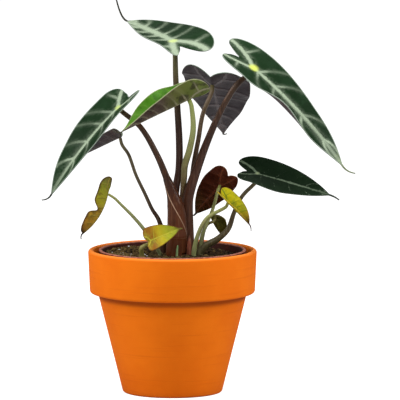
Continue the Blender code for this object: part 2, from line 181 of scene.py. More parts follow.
clay, tree, shader, place = new_skin("terracotta", 0.85)
sand = grain(tree, place, 1400, 6)
cloud = grain(tree, place, 22, 3)
rings = grain(tree, place, 30, 3, (0.4, 0.4, 14))
height = add_node(tree, "ShaderNodeSeparateXYZ", {"Vector": place}).outputs["Z"]
rim_top, band_foot = CLAY_HEIGHT * MM, CLAY_BAND_FOOT * MM
colour = paint(tree, ease(tree, cloud, 0.35, 0.7), (0.78, 0.150, 0.002), (0.83, 0.172, 0.003))
colour = paint(tree, ease(tree, rings, 0.55, 0.72, 0, 0.28), colour, (0.62, 0.095, 0.002))
colour = paint(tree, ease(tree, sand, 0.55, 0.8, 0, 0.4), colour, (0.86, 0.24, 0.03))
# Painted highlight: the top of the rim is painted lighter, where light falls on it.
rim_top_highlight = ease(tree, height, rim_top - 0.0022, rim_top - 0.0002, 0, 0.45)
colour = paint(tree, rim_top_highlight, colour, (0.90, 0.30, 0.06))
colour = paint(tree, ease(tree, height, 0.0, 0.006, 0.3, 0), colour, (0.50, 0.09, 0.008))
# Painted shade: a darker zone on the body just under the band's overhang, where its shadow falls.
corner = maths(tree, "MULTIPLY", ease(tree, height, band_foot - 0.0078, band_foot - 0.0028),
               ease(tree, height, band_foot - 0.0008, band_foot - 0.0001, 0.75, 0))
colour = paint(tree, corner, colour, (0.30, 0.045, 0.003))
finish_skin(
    tree, shader, colour, ease(tree, sand, 0.2, 0.8, 0.78, 0.95),
    maths(tree, "ADD", sand, maths(tree, "MULTIPLY", rings, 1.6)), 0.00016,
)
outline = rounded([
    (75.0, CLAY_HEIGHT, 2.6), (73.3, CLAY_BAND_FOOT, 2.6), (66.0, CLAY_BAND_FOOT - 1.5, 0.8),
    (44.0, 0.0, 2.6), (7.0, 0.0, 0.8), (7.0, 9.0, 0.8), (39.5, 9.0, 4.0),
    (59.5, CLAY_BAND_FOOT - 4.0, 2.0), (67.0, CLAY_BAND_FOOT + 6.0, 2.0),
    (70.0, CLAY_HEIGHT, 2.2),
])
put("terracotta_pot", turn(outline, True, CLAY_TURN_STEPS), [clay], "clay_pot")

# ---------------------------------------------------------------- Growing pot
# The thin pot the plant was raised in, moulded in dark maroon plastic, with a lip turned
# over at its top. It stands on the clay pot's floor.

LIP_TOP = 127.4
LIP_FOOT = 121.4
LINER_TURN_STEPS = 128
liner, tree, shader, place = new_skin("maroon plastic", 0.45)
shader.inputs["Specular IOR Level"].default_value = 0.04
scuff = grain(tree, place, 260, 5)
lines = grain(tree, place, 60, 3, (1, 1, 12))
height = add_node(tree, "ShaderNodeSeparateXYZ", {"Vector": place}).outputs["Z"]
colour = paint(tree, ease(tree, scuff, 0.4, 0.75), (0.032, 0.007, 0.004), (0.060, 0.012, 0.007))
# Painted highlight: the top of the lip is painted lighter and pinkish, where light catches it.
lip_highlight = paint(tree, ease(tree, scuff, 0.35, 0.65), (0.24, 0.075, 0.05), (0.42, 0.17, 0.12))
lip_highlight_mask = ease(tree, height, LIP_TOP * MM - 0.0012, LIP_TOP * MM - 0.0004)
colour = paint(tree, lip_highlight_mask, colour, lip_highlight)
finish_skin(
    tree, shader, colour, ease(tree, scuff, 0.3, 0.7, 0.4, 0.6),
    maths(tree, "ADD", scuff, lines), 0.00008,
)
outline = rounded([
    (65.4, LIP_TOP, 0.8), (65.0, LIP_FOOT, 0.3), (62.6, LIP_FOOT, 0.3), (37.2, 9.3, 1.2),
    (7.0, 9.3, 0), (7.0, 10.8, 0), (35.7, 10.8, 0.8), (61.1, LIP_FOOT + 1.0, 0.5),
    (62.8, LIP_TOP, 0.8),
], 4)
put("plastic_pot", turn(outline, True, LINER_TURN_STEPS), [liner], "growing_pot")

# ---------------------------------------------------------------- Growing mix
# Loose bark, fibre and a little white grit, poured into the growing pot to just below its
# lip and heaped at the left wall. Its top is a bed of crumbs with a few dark rootlets
# lying on it.

MIX_LEVEL = 123.2
MIX_FLAT_RADIUS = 36.0
MIX_WALL_RADIUS = 62.6
MIX_LEAN = 2.2
BED_RADIUS = 59.4
CRUMB_TRIES = 2200
CRUMBS_IN_BATCH = 40
ROOT_RADIUS = 0.35
# Where each stalk comes up, which the crumbs leave free: x, y and radius.
STALK_FEET = (
    (1, 9, 3.3), (2.6, -8, 8.8), (8.5, 13, 2.5), (-8, 2, 2.6), (16.5, 14, 2.3), (14.7, 4, 5.0),
    (24, -5.5, 3.3), (24.2, 4, 1.7), (18.9, -14, 2.2), (25.4, 9, 1.4), (-11, -10, 1.8),
    (-27, -23.5, 2.2), (14.6, -7.6, 2.4), (4, -21, 1.1),
)


def colour_ramp(tree, value, bands):
    """Colours along a value from 0 to 1, each band a place on it and a colour."""
    ramp = add_node(tree, "ShaderNodeValToRGB", {"Fac": value})
    stops = ramp.color_ramp.elements
    for stop, (position, colour) in zip(stops, (bands[0], bands[-1])):
        stop.position, stop.color = position, (*colour, 1.0)
    for position, colour in bands[1:-1]:
        stops.new(position).color = (*colour, 1.0)
    return ramp.outputs[0]


def mesh_value(tree, name):
    """A value that the mesh keeps at each of its points."""
    return add_node(tree, "ShaderNodeAttribute", {}, attribute_name=name).outputs["Fac"]


crumb, tree, shader, place = new_skin("bark mix", 0.9)
fibre = grain(tree, place, 900, 6)
colour = colour_ramp(tree, mesh_value(tree, "tint"), (
    (0.0, (0.018, 0.011, 0.006)), (0.35, (0.050, 0.028, 0.012)), (0.6, (0.105, 0.070, 0.022)),
    (0.8, (0.125, 0.082, 0.026)), (0.95, (0.155, 0.105, 0.036)), (1.0, (1.0, 1.0, 1.0)),
))
colour = paint(tree, ease(tree, fibre, 0.45, 0.75, 0, 0.7), colour, (0.02, 0.014, 0.008))
finish_skin(tree, shader, colour, ease(tree, fibre, 0.3, 0.7, 0.8, 0.98), fibre, 0.0005)


def mix_height(x, y):
    """The bed's level, heaped towards the left wall and low at the right one."""
    reach = math.hypot(x, y)
    if reach < MIX_FLAT_RADIUS:
        return MIX_LEVEL
    share = (reach - MIX_FLAT_RADIUS) / (MIX_WALL_RADIUS - MIX_FLAT_RADIUS)
    return MIX_LEVEL - MIX_LEAN * share * x / reach


shape = turn(
    [(0, MIX_LEVEL), *((r, MIX_LEVEL) for r in range(12, 60, 6)), (60.2, 122.0), (60.0, 121.2),
     (35.2, 11.1), (0, 11.1)], False, 96,
)
tints = shape.verts.layers.float.new("tint")
dice = random.Random(7)
for point in shape.verts:
    point[tints] = 0.15
    if point.co.z > 121.5:
        point.co.z = min(mix_height(point.co.x, point.co.y), point.co.z + 2) - 0.3
        point.co.z += dice.uniform(-0.3, 0.2)
crumb_mesh = bpy.data.meshes.new("crumbs")
batch = bmesh.new()
for count in range(CRUMB_TRIES):
    if count % CRUMBS_IN_BATCH == 0 and count:
        batch.to_mesh(crumb_mesh)
        shape.from_mesh(crumb_mesh)
        batch.clear()
    batch_tints = batch.verts.layers.float.get("tint") or batch.verts.layers.float.new("tint")
    reach = (BED_RADIUS - 0.4) * math.sqrt(dice.random())
    bearing = dice.uniform(0, math.tau)
    x, y = reach * math.cos(bearing), reach * math.sin(bearing)
    size = dice.uniform(0.5, 1.3) if count % 9 else dice.uniform(1.3, 2.2)
    shade = min(1.0, max(0.0, dice.gauss(0.46 - 0.004 * x, 0.17) + (0.08 if y < 0 else 0)))
    spin = Matrix.Rotation(dice.uniform(0, math.tau), 4, "Z")
    tilt = Matrix.Rotation(dice.uniform(-0.6, 0.6), 4, "X")
    shares = (dice.uniform(0.7, 1.5), dice.uniform(0.6, 1.0), dice.uniform(0.45, 0.8))
    if any(math.hypot(x - fx, y - fy) < radius + size for fx, fy, radius in STALK_FEET):
        continue
    if reach + 1.6 * size > BED_RADIUS:
        continue
    spot = Matrix.Translation((x, y, mix_height(x, y) + 0.15 * size))
    scale = Matrix.Diagonal((*(size * share for share in shares), 1.0))
    grown = bmesh.ops.create_icosphere(
        batch, subdivisions=2, radius=1.0, matrix=spot @ spin @ tilt @ scale
    )
    for point in grown["verts"]:
        point[batch_tints] = shade
        point.co += Vector([dice.uniform(-0.12, 0.12) * size for _ in range(3)])


def lay_root(bed, start, heading, length, dice):
    """A thin root on the bed, wandering from its start, as a chain of extruded rings."""
    shape = bmesh.new()
    layer = shape.verts.layers.float.new("tint")
    ring = bmesh.ops.create_circle(shape, cap_ends=True, segments=5, radius=ROOT_RADIUS)["verts"]
    turned = Matrix.Rotation(heading, 3, "Z") @ Matrix.Rotation(math.pi / 2, 3, "Y")
    for point in ring:
        point.co = Vector(start) + turned @ point.co
        point[layer] = 0.0
    edges = list(shape.edges)
    for _ in range(int(length / 2)):
        heading += dice.uniform(-0.5, 0.5)
        grown = bmesh.ops.extrude_edge_only(shape, edges=edges)["geom"]
        step = Vector((2 * math.cos(heading), 2 * math.sin(heading), dice.uniform(-0.25, 0.3)))
        for point in (part for part in grown if isinstance(part, bmesh.types.BMVert)):
            point.co += step
            point[layer] = 0.05
        edges = [part for part in grown if isinstance(part, bmesh.types.BMEdge)]
    bmesh.ops.contextual_create(shape, geom=edges)
    shape.to_mesh(crumb_mesh)
    shape.free()
    bed.from_mesh(crumb_mesh)


for start, heading, length in (
    ((30, 10, 123.9), 0.4, 16), ((31, -8, 123.9), -0.5, 14), ((34, 0, 123.6), 0.9, 12),
    ((28, 20, 124.1), 1.4, 14), ((-20, 12, 124.6), 2.4, 18), ((-14, -30, 124.3), 3.6, 16),
    ((8, -34, 124.2), -0.9, 14), ((-36, 4, 125.2), 1.9, 12),
):
    lay_root(shape, start, heading, length, dice)
batch.free()
put("bark_mix", shape, [crumb], "growing_mix")

# ---------------------------------------------------------------- Top leaf
# The tallest leaf, turned away over the plant: dark green with broad pale veins. The blade
# and its stalk grew as one; the stalk's end meets the blade's underside at the junction.

LOBE_CENTRE = 0.46
TIP_HALF_WIDTH = 0.9
TAIL_HALF_WIDTH = 0.5
BLADE_THICKNESS = 0.7
WAIST = 0.4
WAIST_LENGTH = 0.09
RUFFLES = 2.2
RUFFLE_PHASES = (0.4, 2.0)
VEIN_STEPS = 60
LOBE_VEIN_FORK = 0.55
LATERAL_SLANT = 0.15
TAIL_ROWS = 8


class Leaf:
    """How one blade lies and is bent. It runs from junction to tip, and tail is the drip tail.

    Pairs are for the left and the right half: halves are widths, lobes the lengths behind the
    junction, folds each half's rise in degrees at the lobes, the middle and the tip. bow and
    lift bend the spine in the middle and at the lobes, splay and sinus part the lobes, curl
    and rolled bend the halves across in degrees, wave ruffles the margins, pinch is a waist.
    """

    def __init__(self, name, junction, tip, tail, halves, lobes, folds, roll=0.0, sinus=0.5,
                 bow=0.0, lift=0.0, splay=0.0, curl=0.0, rolled=(0.0, 0.0), wave=0.0, taper=0.95,
                 pinch=0.0):
        self.name = name
        self.junction, self.tip, self.tail = Vector(junction), Vector(tip), Vector(tail)
        self.halves, self.lobes, self.folds, self.sinus = halves, lobes, folds, sinus
        self.bow, self.lift, self.splay, self.curl = bow, lift, splay, curl
        self.rolled, self.wave, self.taper, self.pinch = rolled, wave, taper, pinch
        self.length = (self.tip - self.junction).length
        self.along = (self.tip - self.junction).normalized()
        level = Vector((0, 0, 1)) - self.along * self.along.z
        self.normal = Matrix.Rotation(math.radians(roll), 3, self.along) @ level.normalized()
        self.side = self.along.cross(self.normal)

    def spine(self, station, back=0.0):
        """The midrib at a share of the blade's length; back is the share of a lobe behind it."""
        rise = self.bow * 4 * station * (1 - station) + self.lift * back * back
        return self.junction + self.along * (station * self.length) + self.normal * rise

    def tail_point(self, share):
        """The drip tail, which leaves the tip along the spine and then bends its own way."""
        heading = (self.spine(1.0) - self.spine(0.97)).normalized()
        onward = heading * (self.tail.length * share * (1 - share))
        return self.tip + onward + self.tail * share**2

    def fold(self, station, half):
        """A half's rise in degrees, eased between lobes, middle and tip."""
        base, middle, end = self.folds[half]
        place = min(max(station, 0.0), 1.0) * 2
        low, high = (base, middle) if place < 1 else (middle, end)
        share = place % 1 if place < 2 else 1.0
        return low + (high - low) * share * share * (3 - 2 * share)

    def point(self, station, across, back=0.0):
        """A spot of the flat blade, bent to where it lies."""
        half = 1 if across > 0 else 0
        share = abs(across) / self.halves[half]
        middle = max(0.0, 4 * station * (1 - station)) ** 3
        curl = self.curl + self.rolled[half] * middle
        angle = math.radians(self.fold(station, half) + curl * share / 2)
        turns = math.tau * RUFFLES * station + RUFFLE_PHASES[half]
        ruffle = self.wave * share**2 * math.sin(turns)
        flat = across * math.cos(angle)
        rise = abs(across) * math.sin(angle) + ruffle
        return self.spine(station, back) + self.side * flat + self.normal * rise

    def half_width(self, station, half):
        """A half's width at a share of the length: widest near the junction, slim at the tip."""
        full = (1 - station) ** self.taper * (1 + 0.95 * station)
        waist = 1 - self.pinch * math.exp(-(((station - WAIST) / WAIST_LENGTH) ** 2))
        return max(self.halves[half] * full * waist, TIP_HALF_WIDTH)

    def lobe_edges(self, share, half):
        """A lobe's inner and outer margin, in mm from the midrib, at a share of its length."""
        centre = LOBE_CENTRE * self.halves[half]
        outer = centre + (self.halves[half] - centre) * math.sqrt(1 - share**2.4)
        if share <= self.sinus:
            return 0.0, outer
        q = (share - self.sinus) / (1 - self.sinus)
        return centre * (0.35 * q + 0.65 * (1 - math.sqrt(1 - q * q))), outer


def vein_lines(leaf, laterals):
    """The main ribs and the side veins as rows of points (across, along) from the junction."""
    steps = np.linspace(0, 1, VEIN_STEPS)[:, None]
    ribs = [steps * np.array([[0.0, leaf.length]])]
    sides = []
    for half, side in ((0, -1), (1, 1)):
        centre = LOBE_CENTRE * leaf.halves[half] + leaf.splay
        bend = np.array([[side * 0.75 * centre, -0.4 * leaf.lobes[half]]])
        end = np.array([[side * centre, -0.93 * leaf.lobes[half]]])
        ribs.append(2 * steps * (1 - steps) * bend + steps**2 * end)
        fork = LOBE_VEIN_FORK
        start = 2 * fork * (1 - fork) * bend + fork**2 * end
        reach = np.array([[side * 0.92 * leaf.lobe_edges(fork, half)[1],
                           -leaf.lobes[half] * (fork - 0.22)]])
        sides.append(start + steps * (reach - start))
        for station in laterals:
            far = min(station + LATERAL_SLANT, 0.97)
            start = np.array([[0.0, station * leaf.length]])
            middle = np.array([[side * 0.6 * leaf.half_width(station, half),
                                (station + 0.05) * leaf.length]])
            end = np.array([[side * 0.97 * leaf.half_width(far, half), far * leaf.length]])
            bowed = 2 * steps * (1 - steps) * middle
            sides.append((1 - steps)**2 * start + bowed + steps**2 * end)
    return ribs, sides


def nearest(places, lines):
    """The distance from each place to the nearest point of the lines."""
    found = np.full(len(places), 99.0)
    for line in lines:
        gaps = np.linalg.norm(places[:, None, :] - line[None, :, :], axis=2)
        found = np.minimum(found, gaps.min(axis=1))
    return found


def blade_rows(leaf, fineness):
    """The rows of a blade's grid from the lobes' ends to the tail, each a part of the blade
    and how far along it, and the number of rows that the sinus parts."""
    parted = max(6, round((1 - leaf.sinus) * max(leaf.lobes) / fineness))
    united = max(3, round(leaf.sinus * max(leaf.lobes) / fineness))
    rows = []
    for i in range(parted):
        q = math.cos(math.pi / 2 * (0.08 + 0.92 * i / parted))
        rows.append(("lobe", leaf.sinus + (1 - leaf.sinus) * q))
    rows += [("lobe", leaf.sinus * (1 - i / united)) for i in range(united)]
    blade_steps = round(leaf.length / fineness)
    rows += [("blade", i / blade_steps) for i in range(blade_steps + 1)]
    rows += [("tail", i / TAIL_ROWS) for i in range(1, TAIL_ROWS + 1)]
    return rows, parted


def grow_blade(leaf, skins, laterals=(0.06, 0.24, 0.44, 0.64, 0.82), fineness=0.9):
    """A grid of rows along the midrib, parted at the sinus, bent to the leaf's lie, thickened."""
    columns = max(6, round(max(leaf.halves) / fineness))
    rows, parted = blade_rows(leaf, fineness)
    shape = bmesh.new()
    bmesh.ops.create_grid(shape, x_segments=2 * columns, y_segments=len(rows) - 1, size=1.0)

    def row_of(point):
        return round((point.co.y + 1) / 2 * (len(rows) - 1))

    seam = [
        edge for edge in shape.edges
        if all(abs(p.co.x) < 0.0001 and row_of(p) <= parted for p in edge.verts)
    ]
    bmesh.ops.split_edges(shape, edges=seam)
    spots, sheet = [], []
    for point in shape.verts:
        kind, reach = rows[row_of(point)]
        lean = sum(face.calc_center_median().x for face in point.link_faces)
        half, side, share = (1 if lean > 0 else 0), math.copysign(1.0, lean), abs(point.co.x)
        if kind == "lobe":
            inner, outer = leaf.lobe_edges(reach, half)
            across = side * (inner + (outer - inner) * share + leaf.splay * reach * reach)
            own = min(1.0, abs(across) / (0.3 * leaf.halves[half]))
            lobe = leaf.lobes[half] * own + sum(leaf.lobes) / 2 * (1 - own)
            flat = (across, -reach * lobe)
            spots.append(leaf.point(-reach * lobe / leaf.length, across, reach))
            inside = 99.0 if reach <= leaf.sinus else abs(across) - inner
            edge = min(outer + leaf.splay * reach**2 - abs(across), inside, (1 - reach) * lobe)
        elif kind == "blade":
            width = leaf.half_width(reach, half)
            flat = (side * share * width, reach * leaf.length)
            spots.append(leaf.point(reach, side * share * width))
            edge = width * (1 - share)
        else:
            width = TIP_HALF_WIDTH + (TAIL_HALF_WIDTH - TIP_HALF_WIDTH) * reach
            offset = leaf.point(1.0, side * share * width) - leaf.spine(1.0)
            flat = (side * share * width, leaf.length + reach * leaf.tail.length)
            spots.append(leaf.tail_point(reach) + offset)
            edge = width * (1 - share)
        sheet.append((*flat, edge))
    for point, spot in zip(shape.verts, spots):
        point.co = spot
    sheet = np.array(sheet)
    ribs, sides = vein_lines(leaf, laterals)
    low, high = -max(leaf.lobes), leaf.length + leaf.tail.length
    layers = {
        "rib": nearest(sheet[:, :2], ribs),
        "lateral": nearest(sheet[:, :2], sides),
        "edge": sheet[:, 2],
        "heart": np.hypot(sheet[:, 0], sheet[:, 1]),
        "length": (sheet[:, 1] - low) / (high - low),
        "beyond": sheet[:, 1] - leaf.length,
    }
    piece = put(leaf.name + "_leaf_blade", shape, skins, leaf.name + "_blade")
    for name, values in layers.items():
        layer = piece.data.attributes.new(name, "FLOAT", "POINT")
        layer.data.foreach_set("value", values.astype(np.float32))
    body = piece.modifiers.new("thickness", "SOLIDIFY")
    body.thickness = BLADE_THICKNESS * MM
    body.offset = 0.0
    body.material_offset = 1
    return piece


def leaf_skin(name, bands, vein, rib, lateral, mottle=(0.0, (0, 0, 0)), rim=(0.0, (0, 0, 0)),
              heart=(0.0, (0, 0, 0)), relief=0.0003, roughness=0.42, cream=0.0, cloud=0.3,
              tail=(0.05, 0.05, 0.03)):
    """A blade's face: colours in bands along it, ribs and side veins of two widths in mm, and
    pairs of an amount and a colour. mottle is blotches, rim the margin's width in mm, heart
    the spot at the junction, relief the veins' height, cloud and cream their colour spread."""
    skin, tree, shader, place = new_skin(name, roughness)
    shader.inputs["Specular IOR Level"].default_value = 0.09
    keys = "rib", "lateral", "edge", "heart", "length", "beyond"
    mm = {key: mesh_value(tree, key) for key in keys}
    blotch = grain(tree, place, 85, 4)
    wander = grain(tree, place, 300, 3)
    pores = grain(tree, place, 1500, 4)
    drift = maths(tree, "MULTIPLY", maths(tree, "SUBTRACT", wander, 0.45), 1.4 * rib)
    along = maths(tree, "ADD", mm["length"], maths(tree, "MULTIPLY", drift, 0.04))
    colour = colour_ramp(tree, along, bands)
    colour = paint(tree, ease(tree, blotch, 0.48, 0.62, 0, mottle[0]), colour, mottle[1])
    near_rib = ease(tree, maths(tree, "ADD", mm["rib"], drift), 0.35 * rib, rib, 1, 0)
    near_rib = maths(tree, "MULTIPLY", near_rib, ease(tree, mm["length"], 0.5, 0.95, 0.85, 0.4))
    near_side = ease(tree, maths(tree, "ADD", mm["lateral"], drift), 0.2 * lateral, lateral, 1, 0)
    faded = maths(tree, "MULTIPLY", near_side, ease(tree, mm["rib"], 1.5, 14, 0.85, 0.15))
    faded = maths(tree, "MULTIPLY", faded, ease(tree, blotch, 0.35, 0.6, 0.45, 1.0))
    veins = maths(tree, "MAXIMUM", near_rib, faded)
    haze = maths(tree, "ADD", ease(tree, mm["lateral"], 0, 5, 0.5 * cloud, 0),
                  ease(tree, mm["rib"], 0, 8, cloud, 0))
    haze = maths(tree, "MULTIPLY", haze, ease(tree, wander, 0.3, 0.65))
    colour = paint(tree, veins, paint(tree, haze, colour, vein), vein)
    spot = ease(tree, mm["heart"], 0.25 * heart[0], heart[0] + 0.01, 1, 0)
    margin = ease(tree, mm["edge"], 0.3 * rim[0], rim[0] + 0.01, 0.75, 0)
    colour = paint(tree, margin, paint(tree, spot, colour, heart[1]), rim[1])
    colour = paint(tree, ease(tree, mm["beyond"], -5, 0.5), colour, tail)
    if cream:
        colour = paint(tree, ease(tree, pores, 0.5, 0.8, 0, cream), colour, vein)
    domes = ease(tree, mm["lateral"], 0.0, 4.0, 1.0, 0.0)
    height = maths(tree, "ADD", veins, maths(tree, "ADD", maths(tree, "MULTIPLY", domes, 0.7),
                                             maths(tree, "MULTIPLY", pores, 0.12)))
    finish_skin(
        tree, shader, colour, ease(tree, wander, 0.3, 0.7, roughness - 0.06, roughness + 0.1),
        height, relief,
    )
    return skin


def smooth_path(points, values, steps):
    """Points on one smooth curve through the given points, with values eased between theirs."""
    ends = [points[0] * 2 - points[1], *points, points[-1] * 2 - points[-2]]
    path = []
    for i in range(len(points) - 1):
        a, b, c, d = ends[i:i + 4]
        chord = (c - b).length
        leave = (c - a) * (chord / (chord + (b - a).length))
        arrive = (d - b) * (chord / (chord + (d - c).length))
        for k in range(steps):
            t = k / steps
            eased = t * t * (3 - 2 * t)
            place = b + (c - b) * eased + leave * (t * (1 - t) ** 2) - arrive * (t * t * (1 - t))
            path.append((place, values[i] + (values[i + 1] - values[i]) * t))
    return [*path, (points[-1], values[-1])]


STEPS_PER_SPAN = 8
NO_FLAP = 9.0
STALK_BEND = 7.0
JOINT_GAP = 0.45


def grow_rod(name, node, points, radii, skin, seed, sides=20, sheath=None):
    """A round stalk extruded ring by ring along a smooth line. sheath is the free edge of a
    wrapping sheath, as (height, angle in degrees) at its upper and its lower end."""
    path = smooth_path(points, radii, STEPS_PER_SPAN)
    dice = random.Random(seed)
    phase = dice.uniform(0, math.tau)
    shape = bmesh.new()
    reach, flap = shape.verts.layers.float.new("reach"), shape.verts.layers.float.new("flap")
    ring = bmesh.ops.create_circle(shape, cap_ends=True, segments=sides, radius=1.0)["verts"]
    turns = [math.atan2(point.co.y, point.co.x) for point in ring]
    edges = list(shape.edges)
    for i, (place, radius) in enumerate(path):
        if i:
            grown = bmesh.ops.extrude_edge_only(shape, edges=edges)["geom"]
            edges = [part for part in grown if isinstance(part, bmesh.types.BMEdge)]
            fresh = [part for part in grown if isinstance(part, bmesh.types.BMVert)]
            last = {point: k for k, point in enumerate(ring)}
            ring = [None] * sides
            for point in fresh:
                for edge in point.link_edges:
                    other = edge.other_vert(point)
                    if other in last:
                        ring[last[other]] = point
        ahead = path[min(i + 1, len(path) - 1)][0] - path[max(i - 1, 0)][0]
        right = Vector((0, 1, 0)).cross(ahead).normalized()
        rear = ahead.normalized().cross(right)
        for point, angle in zip(ring, turns):
            width = radius * (1 + 0.02 * math.sin(3 * angle + phase + 0.05 * place.z))
            edge_gap = NO_FLAP
            if sheath:
                (top, top_angle), (low, low_angle) = sheath
                share = (place.z - low) / (top - low)
                free = math.radians(low_angle + (top_angle - low_angle) * share)
                edge_gap = ((angle % math.tau) - free) * radius
                if -0.05 < share < 1.05:
                    width += 0.55 * (1 - min(1.0, max(0.0, (edge_gap + 0.6) / 0.8)))
                else:
                    edge_gap = NO_FLAP
            point.co = place + (right * math.cos(angle) + rear * math.sin(angle)) * width
            point[reach] = i / (len(path) - 1)
            point[flap] = edge_gap
    bmesh.ops.contextual_create(shape, geom=edges)
    bmesh.ops.recalc_face_normals(shape, faces=shape.faces)
    return put(name, shape, [skin], node)


def stalk_skin(name, bands, streak):
    """A stalk's skin: colours in bands from its foot to the blade, streaked along its length."""
    skin, tree, shader, place = new_skin(name, 0.3)
    shader.inputs["Specular IOR Level"].default_value = 0.25
    lines = grain(tree, place, 900, 4, (1, 1, 0.06))
    blotch = grain(tree, place, 140, 4, (1, 1, 0.4))
    colour = colour_ramp(tree, mesh_value(tree, "reach"), bands)
    colour = paint(tree, ease(tree, lines, 0.48, 0.68, 0, 0.55), colour, streak)
    dark = paint(tree, 0.65, colour, (0.02, 0.008, 0.005))
    colour = paint(tree, ease(tree, blotch, 0.5, 0.72, 0, 0.7), colour, dark)
    flap = mesh_value(tree, "flap")
    lit = maths(
        tree, "MULTIPLY", ease(tree, flap, -1.3, -0.7), ease(tree, flap, -0.5, -0.1, 1, 0)
    )
    colour = paint(tree, maths(tree, "MULTIPLY", lit, 0.75), colour, (0.55, 0.36, 0.24))
    finish_skin(tree, shader, colour, ease(tree, blotch, 0.3, 0.7, 0.25, 0.42), lines, 0.00025)
    return skin


def grow_stalk(leaf, places, radii, bands, streak, seed, sides=20, sheath=None):
    """A leaf's stalk through places, of which the first is its foot's x and y. It is upright
    where it leaves the mix, and square to the blade where it ends."""
    foot, *rest = places
    points = [
        Vector((*foot, MIX_LEVEL - 0.2)), Vector((*foot, MIX_LEVEL + 1.8)),
        *(Vector(place) for place in rest),
        leaf.junction - leaf.normal * STALK_BEND, leaf.junction - leaf.normal * JOINT_GAP,
    ]
    skin = stalk_skin(leaf.name + " stalk skin", bands, streak)
    names = leaf.name + "_leaf_stalk", leaf.name + "_stalk"
    return grow_rod(*names, points, radii, skin, seed, sides, sheath)


PALE_VEIN = (0.36, 0.44, 0.31)
DARK_GREEN = (0.0035, 0.017, 0.0035)
MID_GREEN = (0.007, 0.029, 0.007)
UNDER_PURPLE = (0.065, 0.040, 0.046)
top = Leaf("top", (0.6, 8, 312), (-41, 88, 322.5), (-11, 10, 25), (14, 33), (21, 30),
           ((6, -3, 8), (-6, -8, 0)), roll=-18, bow=1, lift=-6, splay=2, curl=6)
grow_blade(top, [
    leaf_skin("top leaf face", ((0, MID_GREEN), (0.5, DARK_GREEN), (1, MID_GREEN)), PALE_VEIN,
              4.6, 3.0, mottle=(0.5, (0.012, 0.036, 0.012)), rim=(1.0, (0.28, 0.33, 0.27)),
              heart=(6.0, (0.50, 0.60, 0.24)), cloud=0.55, tail=(0.020, 0.022, 0.012)),
    leaf_skin("top leaf underside", ((0, UNDER_PURPLE), (1, (0.06, 0.07, 0.05))),
              (0.20, 0.18, 0.14), 2.0, 1.0, mottle=(0.5, (0.05, 0.035, 0.04)), relief=0.0006),
])
grow_stalk(
    top,
    ((1, 9), (1, 9, 150), (3, 9, 180), (5.8, 8.5, 198), (6.1, 6, 224), (4.4, 5, 254),
     (2.9, 6, 280)),
    (3.3, 3.3, 3.3, 3.3, 3.2, 3.1, 2.8, 2.5, 2.2, 2.0),
    ((0.0, (0.060, 0.020, 0.011)), (0.6, (0.042, 0.016, 0.010)), (0.78, (0.085, 0.070, 0.030)),
     (0.9, (0.135, 0.135, 0.050)), (1.0, (0.07, 0.055, 0.03))),
    (0.12, 0.075, 0.045), seed=2,
)

# ---------------------------------------------------------------- Left leaf
# A large blade hanging to the left, pale-veined and dark. Its stalk is the plant's trunk: a
# swollen foot beside the younger stalks, with a sheath that laps over it in a slant.

left = Leaf("left", (-47.6, -8, 254.2), (-107, -28, 179), (-8, -3, -4), (22, 24), (23, 16),
            ((34, 24, 21), (-4, 4, 34)), roll=-30, sinus=0.65, bow=5, lift=2, curl=8)
grow_blade(left, [
    leaf_skin("left leaf face", ((0, MID_GREEN), (0.45, DARK_GREEN), (1, MID_GREEN)), PALE_VEIN,
              2.7, 2.1, mottle=(0.5, (0.009, 0.032, 0.010)), rim=(1.1, (0.30, 0.36, 0.30)),
              heart=(4.5, (0.44, 0.54, 0.18)), cloud=0.22, tail=(0.02, 0.028, 0.018)),
    leaf_skin("left leaf underside", ((0, UNDER_PURPLE), (1, (0.07, 0.07, 0.06))),
              (0.22, 0.18, 0.15), 2.0, 1.0, mottle=(0.5, (0.05, 0.035, 0.04)), relief=0.0006),
], laterals=(0.06, 0.21, 0.42, 0.62))
grow_stalk(
    left,
    ((2.6, -8), (4.2, -8, 140), (4.0, -8, 156), (2.6, -8.4, 168), (0, -8.8, 178), (-4.2, -9, 190),
     (-13.6, -10, 212.7), (-28, -8, 237)),
    (8.8, 8.8, 8.8, 8.0, 6.7, 4.6, 3.2, 2.7, 2.4, 2.2, 2.0),
    ((0.0, (0.105, 0.026, 0.008)), (0.25, (0.120, 0.032, 0.010)), (0.4, (0.075, 0.020, 0.007)),
     (0.6, (0.040, 0.014, 0.007)), (0.85, (0.060, 0.032, 0.016)), (1.0, (0.20, 0.19, 0.07))),
    (0.17, 0.070, 0.028), sides=56, sheath=((190, 195), (141, 345)), seed=3,
)

# ---------------------------------------------------------------- Young leaf
# The newest blade, still half folded: bright green inside, brown-purple outside with pale
# ribs that arch beside the midrib, and a cream margin. Its stalk is greener than the rest.

young = Leaf("young", (14.8, -20, 263), (-45, -43, 236.5), (-7, -2, 2), (22, 22), (20, 20),
             ((53, 43, 36), (13, 48, -10)), roll=-8, lift=-6, curl=30, taper=0.85)
grow_blade(young, [
    leaf_skin("young leaf face", ((0, (0.06, 0.17, 0.008)), (0.5, (0.07, 0.23, 0.010)),
                                  (1, (0.05, 0.12, 0.01))), (0.20, 0.36, 0.06), 2.2, 1.1,
              mottle=(0.6, (0.025, 0.085, 0.006)), rim=(0.8, (0.35, 0.36, 0.20)),
              heart=(3.5, (0.45, 0.55, 0.08))),
    leaf_skin("young leaf underside", ((0, (0.12, 0.17, 0.03)), (0.34, (0.10, 0.11, 0.025)),
                                       (0.5, (0.062, 0.040, 0.030)), (1, (0.055, 0.036, 0.034))),
              (0.34, 0.31, 0.20), 1.6, 1.3, mottle=(0.75, (0.022, 0.016, 0.009)),
              rim=(0.9, (0.36, 0.34, 0.22)), relief=0.0008, cloud=0.2,
              tail=(0.05, 0.03, 0.02)),
], laterals=(0.04, 0.18, 0.32, 0.46, 0.6, 0.75))
